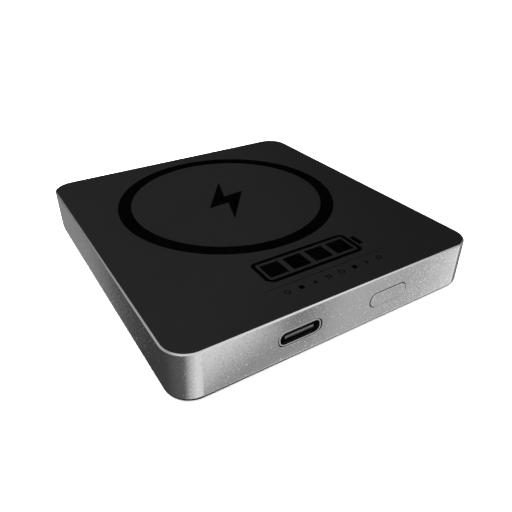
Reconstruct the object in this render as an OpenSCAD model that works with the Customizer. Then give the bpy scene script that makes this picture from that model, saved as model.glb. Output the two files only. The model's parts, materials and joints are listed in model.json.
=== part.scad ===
// Magnetic wireless power bank: a machined aluminium tub with a glued-in black cover,
// a charging coil inside a ring of magnets, a flat pouch cell, and a board that carries
// the USB-C socket and the power switch.
// Units are millimetres. The origin is the centre of the underside, +Z is up through the
// charging face, and the socket and the button are on the -Y face.

/* [Body] */
// Width of the body
body_w = 68; // [66:0.5:76]
// Length of the body, from the socket face to the back
body_l = 74.2; // [74:0.2:90]
// Thickness of the body
body_h = 10.6; // [10.6:0.1:13]
// Radius of the four upright corners
corner_r = 5; // [4.5:0.5:7]
// Radius of the edge around the underside
base_r = 1.4; // [0.6:0.1:2]
// Polished chamfer around the charging face
rim_chamfer = 0.25; // [0.15:0.05:0.3]
// Thickness of the tub's side walls
wall = 1.4; // [1.3:0.1:1.6]
// Thickness of the tub's floor
floor_t = 1; // [0.8:0.1:1]

/* [Cover] */
// From the body's outline to the recess that takes the cover
rim_w = 0.35; // [0.35:0.05:0.6]
// Gap between the cover and its recess
cover_gap = 0.05; // [0.03:0.01:0.08]
// Thickness of the cover
cover_t = 0.85; // [0.7:0.05:0.9]
// How far the cover stands above the rim, so that a phone rests on it and not on the metal
cover_rise = 0.05; // [0:0.01:0.1]
// Thickness of the gloss inlays in the cover
inlay_t = 0.08; // [0.05:0.01:0.15]

/* [Markings] */
// Outer diameter of the gloss ring
mark_ring_od = 50.8; // [48:0.2:54]
// Width of the gloss ring
mark_ring_w = 3; // [2:0.1:4]
// Distance from the body's centre to the ring's centre
ring_y = 7.1; // [6.5:0.1:7.3]
// Height of the lightning bolt
bolt_h = 19.2; // [14:0.2:24]

/* [Socket and button] */
// Distance of the socket from the centre line
socket_x = 10.2; // [9.5:0.1:11]
// Distance of the button from the centre line
button_x = 10.4; // [9.6:0.1:11]
// Height of the socket and the button above the underside
socket_z = 5.7; // [5.7:0.05:6]
// Width of the opening for the socket
port_opening_w = 9.36; // [9.3:0.02:9.5]
// Height of the opening for the socket
port_opening_h = 3.34; // [3.34:0.02:3.6]
// Width of the opening for the button
button_opening_w = 9.4; // [8:0.02:10]
// Height of the opening for the button
button_opening_h = 3.4; // [3.1:0.02:3.6]
// Gap around the button in its opening
button_gap = 0.17; // [0.08:0.01:0.18]
// How far the button stands out of the socket face
button_proud = 0.1; // [0:0.05:0.2]

/* [Charging module] */
// Number of places in the magnet ring, one of which is left open for the coil's leads
magnet_places = 18; // [14:1:20]
// Inner radius of the magnets
magnet_ri = 23.05; // [23:0.05:23.2]
// Outer radius of the magnets
magnet_ro = 27.25; // [27:0.05:27.25]
// Number of turns in the coil
coil_turns = 12; // [8:1:12]
// Distance from turn to turn
coil_pitch = 0.95; // [0.9:0.01:0.95]
// Diameter of the coil's wire
coil_wire = 0.8; // [0.6:0.05:0.8]

/* [Cell and board] */
// Width of the pouch cell
cell_w = 63; // [60:0.5:63]
// Length of the pouch cell without its sealed end
cell_l = 51.8; // [50:0.1:51.8]
// Thickness of the pouch cell
cell_t = 6.1; // [5.5:0.1:6.1]
// Thickness of the main board
board_t = 0.8; // [0.6:0.1:1]

/* [Hidden] */
$fn = 96;
over = 0.5; // how far a cutting shape runs past the face it cuts

// Faces of the tub
face_y = -body_l / 2;
inner_y = face_y + wall;
cavity_w = body_w - 2 * wall;
cavity_l = body_l - 2 * wall;
cavity_r = corner_r - wall;
wall_span = 54; // straight part of the front wall, which is a node of its own

// Levels, from the charging face down
cover_top = body_h + cover_rise;
cover_z = cover_top - cover_t;
gasket_t = 0.15;
ledge_z = cover_z - gasket_t;
film_t = 0.1;
module_top = cover_z - film_t;
magnet_t = 1;
steel_t = 0.4;
carrier_floor_t = 0.3;
carrier_floor_z = module_top - magnet_t - steel_t;
carrier_z = carrier_floor_z - carrier_floor_t;
ferrite_t = module_top - coil_wire - carrier_floor_z;
graphite_t = 0.1;
graphite_z = carrier_z - graphite_t;

// Levels, from the floor up
adhesive_t = 0.15;
cell_z = floor_t + adhesive_t;
cell_top = cell_z + cell_t;

// Cover outline
recess_w = body_w - 2 * rim_w;
recess_l = body_l - 2 * rim_w;
recess_r = corner_r - rim_w;
cover_w = recess_w - 2 * cover_gap;
cover_l = recess_l - 2 * cover_gap;
cover_r = recess_r - cover_gap;

// Printed symbols: a battery symbol above a thin line and a row of small shapes
symbol_x = 1.4;
symbol_y = -24.3;
symbol_w = 24.4;
symbol_h = 7.4;
symbol_stroke = 0.85;
symbol_nub_w = 1.1;
symbol_bars = 4;
line_y = -29.63;
line_w = 28.6;
line_t = 0.14;
row_y = -31.7;
row_size = 1.3;
row_pitch = 3.1;

// USB-C receptacle, as its standard sets it
shell_t = 0.3;
port_w = 8.34;
port_h = 2.56;
port_r = 1.1;
shell_w = port_w + 2 * shell_t;
shell_h = port_h + 2 * shell_t;
shell_l = 7.3;
shell_recess = 0.1;
shell_y = face_y + shell_recess;
tongue_w = 6.2;
tongue_t = 0.7;
tongue_recess = 0.2;
tongue_y = shell_y + tongue_recess;
insulator_y = shell_y + 5.5;
insulator_end_y = shell_y + shell_l + 0.2;
contact_count = 12;
contact_pitch = 0.5;
contact_w = 0.27;
contact_l = 3.3;
contact_setback = 0.65; // from the tongue's tip
contact_t = 0.05;

// Main board: it lies under the receptacle's shell, on four standoffs pressed into the tub's floor
board_top = socket_z - shell_h / 2;
board_z = board_top - board_t;
board_w = 63;
board_y0 = inner_y + 0.5;
board_y1 = board_y0 + 12.8;
board_r = 2.5;
standoff_r = 1.9;
standoff_foot_r = 1.4;
standoff_foot_t = 0.5;
screw_r = 0.68;
screw_hole_r = 0.7;
screw_head_r = 1.25;
screw_head_t = 0.6;
screw_depth = 1.8;
screw_places = [
    [-29, board_y1 - 2.2], [29, board_y1 - 2.2],
    [-19.3, board_y0 + 2.3], [19.8, board_y0 + 2.3]
];
notch_w = 12.8;
notch_y = board_y0 + 1.6;
shell_leg_y = [shell_y + 2.4, shell_y + 6.1];
shell_leg_l = 1.1;
shell_leg_gap = 0.15;
bumper_x = 19;
bumper_w = 14;
bumper_l = 0.6;
bumper_h = 1.8;
bumper_gap = 0.3;

// Button and switch, from the socket face inward: the switch travels 0.3
port_opening_r = 1.5;
button_opening_r = button_opening_h / 2 - 0.05;
cap_w = button_opening_w - 2 * button_gap;
cap_h = button_opening_h - 2 * button_gap;
cap_r = button_opening_r - button_gap;
cap_chamfer = 0.14;
opening_chamfer = 0.05;
flange_gap = 0.02;
flange_lip = 0.7;
flange_t = 0.55;
flange_y = inner_y + flange_gap;
cap_y = face_y - button_proud;
cap_l = flange_y + 0.1 - cap_y;
pad_y = flange_y + flange_t;
pad_w = 6;
pad_h = 2.2;
pad_t = 0.45;
pad_tip_r = 0.8;
pad_tip_t = 0.35;
plunger_y = pad_y + pad_t + pad_tip_t;
plunger_w = 1.5;
plunger_h = 1.2;
frame_t = 0.2;
switch_y = notch_y + frame_t;
switch_w = 4.7;
switch_d = 3.2;
switch_h = 3.1;
switch_z = board_top + switch_h / 2;
shoulder_w = 2.5;
shoulder_h = 1.8;
shoulder_t = 0.5;
shoulder_y = switch_y + 0.2;
pocket_w = 2.9;
pocket_h = 2.3;
pocket_d = 1.5;
dome_r = 1;
dome_rise = 0.4;
dome_t = 0.08;
dome_vent_r = 0.1;
plunger_end_y = switch_y + pocket_d - dome_rise;

// Pouch cell and what is on its sealed end
cell_y0 = -17.2;
cell_edge_r = 1.6;
seal_l = 4;
seal_w = 58;
seal_t = 0.3;
seal_z = cell_z + 1.9;
tab_x = 12;
tab_w = 5;
tab_t = 0.1;
tab_l = 3.2;
pcm_w = 44;
pcm_l = 3;
pcm_t = 0.6;
pcm_y = cell_y0 - 0.3 - pcm_l;
pcm_z = seal_z + seal_t + tab_t;
pcm_chip_t = 0.8;
tape_w = 34;
tape_x = 4;
tape_t = 0.06;
lead_d = 1;
lead_x = [-19.2, -17];

// Charging coil: half turns about two centres half a pitch apart
coil_r0 = 10.3;
coil_z = module_top - coil_wire / 2;
coil_r_end = coil_r0 + coil_turns * coil_pitch;
coil_lead_d = 0.56;
coil_lead_x = 2;
coil_lead_z = carrier_floor_z + 0.3;
lead_end_y = board_y1 - 1.1;
lead_slot_w = 6;
carrier_r = magnet_ro + 0.95;
carrier_gap = 0.05;
divider_r = magnet_ri - carrier_gap;
divider_t = 0.7;

// A rectangle with true round corners
module rounded_rect(w, l, r) {
    square([w - 2 * r, l], center = true);
    square([w, l - 2 * r], center = true);
    for (x = [-1, 1], y = [-1, 1])
        translate([x * (w / 2 - r), y * (l / 2 - r)])
            circle(r);
}

module rounded_plate(w, l, h, r) {
    linear_extrude(h)
        rounded_rect(w, l, r);
}

// Section through an edge: a chamfer at its top and a radius at its foot
module edge_section(reach, h, chamfer, foot_r) {
    translate([0, foot_r])
        square([reach, h - chamfer - foot_r]);
    polygon([[0, h - chamfer], [reach, h - chamfer], [reach - chamfer, h], [0, h]]);
    if (foot_r > 0) {
        square([reach - foot_r, foot_r]);
        translate([reach - foot_r, 0])
            intersection() {
                translate([0, foot_r])
                    circle(foot_r);
                square(foot_r);
            }
    }
}

// A block with that section all round
module edged_block(w, l, h, r, chamfer, foot_r = 0) {
    cx = w / 2 - r;
    cy = l / 2 - r;
    translate([-cx, -cy, 0])
        cube([2 * cx, 2 * cy, h]);
    for (corner = [[1, 1, 0], [-1, 1, 90], [-1, -1, 180], [1, -1, 270]])
        translate([corner[0] * cx, corner[1] * cy, 0])
            rotate([0, 0, corner[2]])
                rotate_extrude(angle = 90)
                    edge_section(r, h, chamfer, foot_r);
    for (side = [[cx, cy, 0], [cy, cx, 90], [cx, cy, 180], [cy, cx, 270]])
        rotate([0, 0, side[2]])
            translate([side[0], 0, 0])
                rotate([90, 0, 0])
                    linear_extrude(2 * side[1], center = true)
                        edge_section(r, h, chamfer, foot_r);
}

// A rounded bar that runs along +Y from y, centred on x and z
module bar_y(x, z, y, w, h, r, length) {
    translate([x, y, z])
        rotate([-90, 0, 0])
            rounded_plate(w, h, length, r);
}

// A box that runs along +Y from y, centred on x and z
module box_y(x, z, y, w, h, length) {
    translate([x - w / 2, y, z - h / 2])
        cube([w, length, h]);
}

// A cylinder along +Y
module rod_y(x, z, y, r, length) {
    translate([x, y, z])
        rotate([-90, 0, 0])
            cylinder(h = length, r = r);
}

// A chip that lies on the main board
module on_board(x, y, w, l, h) {
    translate([x - w / 2, y - l / 2, board_top])
        cube([w, l, h]);
}

module at_ring() {
    translate([0, ring_y, 0])
        children();
}

module tube(ri, ro, z, h) {
    translate([0, 0, z])
        difference() {
            cylinder(h = h, r = ro);
            translate([0, 0, -over])
                cylinder(h = h + 2 * over, r = ri);
        }
}

// A sector with its middle on the -Y axis, used to open the rings for the coil's leads
module lead_gap(angle, r, z, h) {
    x = r * sin(angle / 2);
    y = -r * cos(angle / 2);
    translate([0, 0, z])
        linear_extrude(h)
            polygon([[0, 0], [-x, y], [0, -1.2 * r], [x, y]]);
}

// Smooth curve through a list of points, with n steps from point to point
function spline_point(a, b, c, d, t) =
    0.5 * (2 * b + (c - a) * t + (2 * a - 5 * b + 4 * c - d) * pow(t, 2)
        + (3 * b - a - 3 * c + d) * pow(t, 3));
function smooth_path(p, n) = concat(
    [for (i = [0:len(p) - 2], k = [0:n - 1])
        spline_point(p[max(i - 1, 0)], p[i], p[i + 1], p[min(i + 2, len(p) - 1)], k / n)],
    [p[len(p) - 1]]
);
function unit(v) = v / norm(v);

// A lead's path: curved, with a straight stub at each end that meets its face squarely
function lead_path(p) = concat(
    [p[0]], smooth_path([for (i = [1:len(p) - 2]) p[i]], 3), [p[len(p) - 1]]
);

// A round wire swept along a path, which never runs parallel to the direction across
module wire(path, d, across, sides = 10) {
    n = len(path);
    rings = [for (i = [0:n - 1])
        let (along = unit(path[min(i + 1, n - 1)] - path[max(i - 1, 0)]),
             u = unit(cross(along, across)),
             v = cross(along, u))
        for (k = [0:sides - 1])
            path[i] + d / 2 * (cos(360 * k / sides) * u + sin(360 * k / sides) * v)];
    walls = [for (i = [0:n - 2], k = [0:sides - 1])
        let (j = (k + 1) % sides)
        [i * sides + k, (i + 1) * sides + k, (i + 1) * sides + j, i * sides + j]];
    ends = [[for (k = [0:sides - 1]) k], [for (k = [0:sides - 1]) n * sides - 1 - k]];
    polyhedron(rings, concat(walls, ends));
}

// ---- Case ----

// The tub without the straight part of its front wall
module housing() {
    color("silver")
        difference() {
            tub();
            wall_region();
            for (p = screw_places)
                translate([p[0], p[1], floor_t - standoff_foot_t])
                    cylinder(h = standoff_foot_t + over, r = standoff_foot_r);
        }
}

// The front wall around the two openings: one piece with the tub in a real housing, and
// a node of its own here so that simple shapes can stand around each opening
module socket_wall() {
    color("silver")
        intersection() {
            tub();
            wall_region();
        }
}

module wall_region() {
    translate([-wall_span / 2, face_y - over, -over])
        cube([wall_span, wall + over, body_h + 2 * over]);
}

// The machined tub with its cover recess and the two openings in the socket face
module tub() {
    difference() {
        edged_block(body_w, body_l, body_h, corner_r, rim_chamfer, base_r);
        translate([0, 0, floor_t])
            rounded_plate(cavity_w, cavity_l, body_h, cavity_r);
        translate([0, 0, ledge_z])
            rounded_plate(recess_w, recess_l, body_h, recess_r);
        opening(-socket_x, port_opening_w, port_opening_h, port_opening_r);
        opening(button_x, button_opening_w, button_opening_h, button_opening_r);
    }
}

// An opening in the socket face with a broken edge: a cone at each corner and flats between
module opening(centre_x, w, h, r) {
    c = opening_chamfer;
    x = w / 2 - r;
    z = h / 2 - r;
    bar_y(centre_x, socket_z, face_y - over, w, h, r, wall + 2 * over);
    translate([centre_x, face_y, socket_z]) {
        for (i = [-1, 1], k = [-1, 1])
            translate([i * x, 0, k * z])
                rotate([-90, 0, 0])
                    cylinder(h = c, r1 = r + c, r2 = r);
        rotate([90, 0, 90])
            linear_extrude(2 * x, center = true)
                polygon([[0, -h / 2 - c], [0, h / 2 + c], [c, h / 2], [c, -h / 2]]);
        linear_extrude(2 * z, center = true)
            polygon([[-w / 2 - c, 0], [w / 2 + c, 0], [w / 2, c], [-w / 2, c]]);
    }
}

module top_cover() {
    color([0.13, 0.13, 0.135])
        difference() {
            translate([0, 0, cover_z])
                edged_block(cover_w, cover_l, cover_t, cover_r, 0.08);
            translate([0, 0, cover_top - inlay_t])
                linear_extrude(over) {
                    ring_mark();
                    bolt_mark();
                    battery_mark();
                    divider_mark();
                    row_marks();
                }
        }
}

module cover_gasket() {
    color("dimgray")
        translate([0, 0, ledge_z])
            linear_extrude(gasket_t)
                difference() {
                    rounded_rect(recess_w - 0.3, recess_l - 0.3, recess_r - 0.15);
                    rounded_rect(cavity_w + 0.1, cavity_l + 0.1, cavity_r + 0.05);
                }
}

// ---- Markings, as flat shapes ----

module ring_mark() {
    translate([0, ring_y])
        difference() {
            circle(mark_ring_od / 2);
            circle(mark_ring_od / 2 - mark_ring_w);
        }
}

// The bolt is the same turned half round: a tip, a side point and a notch, twice
module bolt_mark() {
    s = bolt_h / 19.2;
    half = [[3.1, 9.6], [-5.6, -2.2], [-0.4, -1.7]];
    translate([-0.35, ring_y - 0.45])
        polygon(concat(s * half, -s * half));
}

// A battery outline with a nub and level bars
module battery_mark() {
    case_w = symbol_w - symbol_nub_w - 0.5;
    inner_w = case_w - 2 * symbol_stroke;
    bar_pitch = inner_w / symbol_bars;
    left = symbol_x - symbol_w / 2;
    translate([left + case_w / 2, symbol_y])
        difference() {
            rounded_rect(case_w, symbol_h, 1.3);
            rounded_rect(inner_w, symbol_h - 2 * symbol_stroke, 0.6);
        }
    translate([left + symbol_w - symbol_nub_w / 2, symbol_y])
        square([symbol_nub_w, symbol_h * 0.42], center = true);
    for (i = [0:symbol_bars - 1])
        translate([left + symbol_stroke + (i + 0.5) * bar_pitch, symbol_y])
            square([bar_pitch - 1.15, symbol_h - 2 * symbol_stroke - 1.5], center = true);
}

module divider_mark() {
    translate([symbol_x, line_y])
        square([line_w, line_t], center = true);
}

// Eight plain shapes under the line
module row_marks() {
    s = row_size;
    for (i = [0:7])
        translate([symbol_x + (i - 3.5) * row_pitch, row_y])
            if (i % 4 == 0)
                difference() {
                    circle(s / 2);
                    circle(s / 2 - 0.22);
                }
            else if (i % 4 == 1)
                square([s * 0.8, s * 0.8], center = true);
            else if (i % 4 == 2)
                polygon([[-s / 2, -s / 2], [s / 2, -s / 2], [0, s / 2]]);
            else
                for (x = [-1, 1])
                    translate([x * s * 0.27, 0])
                        square([s * 0.24, s], center = true);
}

module inlay() {
    color("black")
        translate([0, 0, cover_top - inlay_t])
            linear_extrude(inlay_t)
                children();
}

module ring_inlay() { inlay() ring_mark(); }
module bolt_inlay() { inlay() bolt_mark(); }
module battery_symbol_inlay() { inlay() battery_mark(); }
module divider_line_inlay() { inlay() divider_mark(); }
module symbol_row_inlay() { inlay() row_marks(); }

// ---- Button and switch ----

// The cap goes through its opening, and a flange behind the wall keeps it in
module power_button() {
    color("silver")
        union() {
            translate([button_x, cap_y + cap_l, socket_z])
                rotate([90, 0, 0])
                    edged_block(cap_w, cap_h, cap_l, cap_r, cap_chamfer);
            bar_y(button_x, socket_z, flange_y, cap_w + 2 * flange_lip, cap_h + 2 * flange_lip,
                cap_r + flange_lip, flange_t);
        }
}

// Silicone pad on the back of the button, with a round tip that meets the switch
module button_pad() {
    color("darkslategray") {
        bar_y(button_x, switch_z, pad_y, pad_w, pad_h, 0.5, pad_t);
        rod_y(button_x, switch_z, pad_y + pad_t, pad_tip_r, pad_tip_t);
    }
}

module switch_body() {
    color([0.12, 0.12, 0.12])
        difference() {
            box_y(button_x, switch_z, switch_y, switch_w, switch_h, switch_d);
            box_y(button_x, switch_z, switch_y - over, pocket_w, pocket_h, pocket_d + over);
        }
}

// Folded steel cover: a front with a window, a top, and two legs that stand on the board
module switch_frame() {
    t = frame_t;
    color("lightsteelblue")
        difference() {
            union() {
                translate([button_x - switch_w / 2 - t, switch_y - t, board_top])
                    cube([switch_w + 2 * t, t, switch_h + t]);
                translate([button_x - switch_w / 2 - t, switch_y - t, board_top + switch_h])
                    cube([switch_w + 2 * t, switch_d * 0.8, t]);
                for (x = [-1, 1])
                    translate([button_x + x * (switch_w + t) / 2 - t / 2, switch_y - t, board_top])
                        cube([t, switch_d * 0.6, switch_h + t]);
            }
            box_y(button_x, switch_z, switch_y - t - over, plunger_w + 0.2, plunger_h + 0.2, t + 2 * over);
        }
}

module switch_plunger() {
    color("white") {
        box_y(button_x, switch_z, plunger_y, plunger_w, plunger_h, plunger_end_y - plunger_y);
        box_y(button_x, switch_z, shoulder_y, shoulder_w, shoulder_h, shoulder_t);
    }
}

// Snap dome: a thin slice of a hollow ball with a vent hole, hollow towards the back of the switch
module switch_dome() {
    ball_r = (pow(dome_r, 2) + pow(dome_rise, 2)) / (2 * dome_rise);
    color("gold")
        translate([button_x, plunger_end_y + ball_r, switch_z])
            rotate([90, 0, 0])
                difference() {
                    intersection() {
                        sphere(ball_r);
                        translate([0, 0, ball_r - dome_rise])
                            cylinder(h = dome_rise, r = dome_r);
                    }
                    sphere(ball_r - dome_t);
                    cylinder(h = ball_r + over, r = dome_vent_r);
                }
}

// ---- USB-C receptacle ----

module usb_shell() {
    color("lightgray")
        difference() {
            union() {
                bar_y(-socket_x, socket_z, shell_y, shell_w, shell_h, port_r + shell_t, shell_l);
                for (x = [-1, 1], y = shell_leg_y)
                    translate([-socket_x + x * (shell_w - shell_t) / 2 - shell_t / 2, y - shell_leg_l / 2,
                            board_z - 0.1])
                        cube([shell_t, shell_leg_l, socket_z - board_z + 0.1]);
            }
            bar_y(-socket_x, socket_z, shell_y - over, port_w, port_h, port_r, shell_l + 2 * over);
        }
}

// One moulding: the tongue that carries the contacts, a step behind it, and the back
module usb_insulator() {
    color([0.1, 0.1, 0.1])
        union() {
            box_y(-socket_x, socket_z, tongue_y, tongue_w, tongue_t, insulator_y - tongue_y + 0.1);
            box_y(-socket_x, socket_z, insulator_y - 1, tongue_w + 0.3, 1.2, 1.1);
            bar_y(-socket_x, socket_z, insulator_y, port_w - 0.04, port_h - 0.04, port_r - 0.02,
                insulator_end_y - insulator_y);
        }
}

// Contacts on both faces of the tongue, and the feet that come down behind the shell
module usb_contacts() {
    foot_z = board_top + 0.075;
    color("gold")
        for (i = [0:contact_count - 1]) {
            x = -socket_x + (i - (contact_count - 1) / 2) * contact_pitch;
            for (side = [-1, 1])
                box_y(x, socket_z + side * (tongue_t + contact_t) / 2, tongue_y + contact_setback,
                    contact_w, contact_t, contact_l);
            box_y(x, board_top + 0.4, insulator_end_y, contact_w, 0.8, 0.15);
            box_y(x, foot_z, insulator_end_y + 0.1, contact_w, 0.15, 0.6);
        }
}

// ---- Main board ----

module main_board() {
    color("darkgreen")
        translate([0, 0, board_z])
            linear_extrude(board_t)
                difference() {
                    translate([0, (board_y0 + board_y1) / 2])
                        rounded_rect(board_w, board_y1 - board_y0, board_r);
                    translate([button_x - notch_w / 2, board_y0 - over])
                        square([notch_w, notch_y - board_y0 + over]);
                    for (p = screw_places)
                        translate(p)
                            circle(screw_r + 0.12);
                    for (x = [-1, 1], y = shell_leg_y)
                        translate([-socket_x + x * (shell_w - shell_t) / 2, y])
                            square([shell_t + 2 * shell_leg_gap, shell_leg_l + 2 * shell_leg_gap],
                                center = true);
                }
}

// Threaded standoffs, each with a narrow foot pressed into the tub's floor
module board_standoffs() {
    color("goldenrod")
        for (p = screw_places)
            translate([p[0], p[1], 0])
                difference() {
                    union() {
                        translate([0, 0, floor_t])
                            cylinder(h = board_z - floor_t, r = standoff_r);
                        translate([0, 0, floor_t - standoff_foot_t])
                            cylinder(h = standoff_foot_t + 0.1, r = standoff_foot_r);
                    }
                    translate([0, 0, board_z - screw_depth - 0.2])
                        cylinder(h = screw_depth + 0.2 + over, r = screw_hole_r);
                }
}

// Two low foam strips that keep the cell away from the board
module cell_bumpers() {
    color([0.2, 0.2, 0.2])
        for (x = [-1, 1])
            translate([x * bumper_x - bumper_w / 2, board_y1 + bumper_gap, floor_t])
                cube([bumper_w, bumper_l, bumper_h]);
}

// Film on the tub's floor that keeps the board's underside off the metal
module board_insulator() {
    color("goldenrod")
        translate([0, 0, floor_t])
            linear_extrude(0.1)
                difference() {
                    translate([0, (board_y0 + board_y1) / 2])
                        rounded_rect(board_w - 2, board_y1 - board_y0 - 1.2, board_r);
                    for (p = screw_places)
                        translate(p)
                            circle(standoff_r + 0.2);
                }
}

// M1.4 pan heads with a cross recess
module board_screws() {
    color("lightslategray")
        for (p = screw_places)
            translate([p[0], p[1], board_top])
                difference() {
                    union() {
                        translate([0, 0, -board_t - screw_depth])
                            cylinder(h = board_t + screw_depth + 0.1, r = screw_r);
                        cylinder(h = screw_head_t, r1 = screw_head_r, r2 = screw_head_r * 0.84);
                    }
                    for (a = [0, 90])
                        rotate([0, 0, a])
                            translate([-0.7, -0.14, screw_head_t - 0.32])
                                cube([1.4, 0.28, over]);
                }
}

module charge_controller() {
    color([0.09, 0.09, 0.1])
        on_board(-11, board_y1 - 3.6, 4, 4, 0.85);
}

module wireless_controller() {
    color([0.09, 0.09, 0.1])
        on_board(10.5, board_y1 - 3.6, 5, 5, 0.85);
}

module power_transistors() {
    color([0.14, 0.14, 0.15])
        for (x = [-21.5, -16.6, 16.6, 20.6, 24.6])
            on_board(x, board_y1 - 3.4, 3.2, 3.2, 0.8);
}

// Moulded power inductor with its two end terminals' step
module power_inductor() {
    color("slategray")
        translate([-25.4, board_y0 + 4.4, board_top]) {
            translate([0, 0, 0.2])
                rounded_plate(6.4, 6.4, 2.6, 0.7);
            translate([-2.6, -3, 0])
                cube([5.2, 6, 0.2]);
        }
}

module resonant_capacitors() {
    color("burlywood")
        for (x = [23.6, 26.3, 29])
            on_board(x, board_y0 + 4.8, 2.4, 3.2, 1.9);
}

module ceramic_capacitors() {
    color("tan")
        for (x = [-6.6, -4.4, 3.2, 5.4])
            on_board(x, board_y1 - 3.6, 1.25, 2, 1);
}

module chip_resistors() {
    color([0.2, 0.2, 0.22])
        for (x = [-2.6, -0.4, 1.8, 4], y = [board_y0 + 3.6, board_y0 + 5.8])
            on_board(x, y, 0.8, 1.6, 0.45);
}

// ---- Pouch cell ----

module battery_cell() {
    color("lightgray")
        union() {
            bar_y(0, cell_z + cell_t / 2, cell_y0, cell_w, cell_t, cell_edge_r, cell_l);
            box_y(0, seal_z + seal_t / 2, cell_y0 - seal_l, seal_w, seal_t, seal_l + 0.1);
        }
}

module battery_tabs() {
    color("gainsboro")
        for (x = [-1, 1])
            box_y(x * tab_x, seal_z + seal_t + tab_t / 2, cell_y0 - tab_l, tab_w, tab_t, tab_l);
}

module protection_board() {
    color("seagreen")
        box_y(0, pcm_z + pcm_t / 2, pcm_y, pcm_w, pcm_t, pcm_l);
}

module protection_chips() {
    color([0.1, 0.1, 0.1])
        for (x = [-6, 0, 6, 14])
            box_y(x, pcm_z + pcm_t + pcm_chip_t / 2, pcm_y + 0.6, 3, pcm_chip_t, 1.9);
}

// Polyimide tape folded over the protection board and back under the cell's seal
module protection_tape() {
    low = seal_z - tape_t;
    high = pcm_z + pcm_t + pcm_chip_t + tape_t;
    front = cell_y0 - seal_l;
    color("orange")
        difference() {
            translate([tape_x - tape_w / 2, front - tape_t, low])
                cube([tape_w, seal_l + tape_t, high - low]);
            translate([tape_x - tape_w / 2 - over, front, low + tape_t])
                cube([tape_w + 2 * over, seal_l + over, high - low - 2 * tape_t]);
        }
}

module battery_adhesive() {
    color("whitesmoke")
        for (x = [-1, 1])
            translate([x * 16 - 9, cell_y0 + 3, floor_t])
                cube([18, cell_l - 6, adhesive_t]);
}

// A lead that rises from the protection board and comes down on the main board
module battery_lead(x) {
    start_z = pcm_z + pcm_t;
    start_y = pcm_y + 1.6;
    wire(lead_path([
            [x, start_y, start_z], [x, start_y, start_z + 0.3], [x, start_y - 0.3, start_z + 1.3],
            [x, start_y - 1.5, start_z + 1.9], [x, board_y1 + 0.2, start_z + 1.8],
            [x, lead_end_y, board_top + 1.2], [x, lead_end_y, board_top + 0.3], [x, lead_end_y, board_top]
        ]), lead_d, [1, 0, 0]);
}

module battery_lead_positive() { color("red") battery_lead(lead_x[0]); }
module battery_lead_negative() { color([0.15, 0.15, 0.15]) battery_lead(lead_x[1]); }

// ---- Charging module ----

// Foam strips that fill the space for the cell's swelling
module foam_pads() {
    color("gray") {
        for (x = [-1, 1])
            translate([x * 29 - 1.5, cell_y0 + 6, cell_top])
                cube([3, cell_l - 12, graphite_z - cell_top]);
        for (y = [cell_y0 + 1, cell_y0 + cell_l - 4])
            translate([-22, y, cell_top])
                cube([44, 3, graphite_z - cell_top]);
    }
}

module graphite_sheet() {
    color([0.25, 0.25, 0.27])
        translate([0, cell_y0 + cell_l / 2, graphite_z])
            rounded_plate(61, 50, graphite_t, 1);
}

// Plastic tray: a floor, an outer wall, and a wall between the coil and the magnets
module module_carrier() {
    color([0.16, 0.16, 0.17])
        at_ring()
            difference() {
                union() {
                    translate([0, 0, carrier_z])
                        cylinder(h = carrier_floor_t, r = carrier_r);
                    tube(magnet_ro + carrier_gap, carrier_r, carrier_z, module_top - carrier_z);
                    tube(divider_r - divider_t, divider_r, carrier_z, module_top - carrier_z);
                }
                translate([-lead_slot_w / 2, -carrier_r - over, carrier_floor_z])
                    cube([lead_slot_w, carrier_r + over - divider_r + 2 * divider_t, module_top]);
            }
}

module steel_ring() {
    color("lightsteelblue")
        at_ring()
            difference() {
                tube(magnet_ri, magnet_ro, carrier_floor_z, steel_t);
                lead_gap(360 / magnet_places, magnet_ro, carrier_floor_z - over, 2);
            }
}

// Arc magnets all round, except at the place where the coil's leads come out
module ring_magnets() {
    pitch = 360 / magnet_places;
    gap = 0.8;
    color("silver")
        at_ring()
            for (i = [1:magnet_places - 1])
                rotate([0, 0, i * pitch - 90 - (pitch - gap) / 2])
                    rotate_extrude(angle = pitch - gap)
                        translate([magnet_ri, carrier_floor_z + steel_t])
                            square([magnet_ro - magnet_ri, magnet_t]);
}

// Ferrite disc with a slot that the inner lead runs out through
module ferrite_shield() {
    r = divider_r - divider_t - 2 * carrier_gap;
    slot_w = 1.6;
    color([0.22, 0.21, 0.22])
        at_ring()
            difference() {
                translate([0, 0, carrier_floor_z])
                    cylinder(h = ferrite_t, r = r);
                translate([-coil_lead_x - slot_w / 2, -r - over, carrier_floor_z - over])
                    cube([slot_w, r + over - coil_r0 + 1.2, ferrite_t + 2 * over]);
            }
}

// Flat spiral of half turns, both ends on the -Y side
module charging_coil() {
    color("chocolate")
        at_ring()
            rotate([0, 0, -90])
                for (k = [0:2 * coil_turns - 1])
                    translate([k % 2 == 0 ? 0 : coil_pitch / 2, 0, coil_z])
                        rotate([0, 0, k % 2 == 0 ? 0 : 180])
                            rotate_extrude(angle = 180)
                                translate([coil_r0 + k * coil_pitch / 2, 0])
                                    circle(coil_wire / 2);
}

// The inner end dips under the turns and runs out through the ferrite's slot
module coil_lead_inner() {
    x = -coil_lead_x;
    y = ring_y - coil_r0;
    color("peru")
        wire(lead_path([
                [0, y, coil_z], [-0.3, y, coil_z], [-1, y + 0.08, coil_z - 0.1],
                [x + 0.35, y + 0.25, coil_lead_z + 0.25], [x, y - 0.1, coil_lead_z + 0.02],
                [x, y - 1, coil_lead_z], [x, ring_y - divider_r, coil_lead_z],
                [x, ring_y - carrier_r, coil_lead_z], [x, lead_end_y + 0.9, coil_lead_z - 0.6],
                [x, lead_end_y, board_top + 2.4], [x, lead_end_y, board_top + 0.3], [x, lead_end_y, board_top]
            ]), coil_lead_d, [1, -1, 0]);
}

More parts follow.
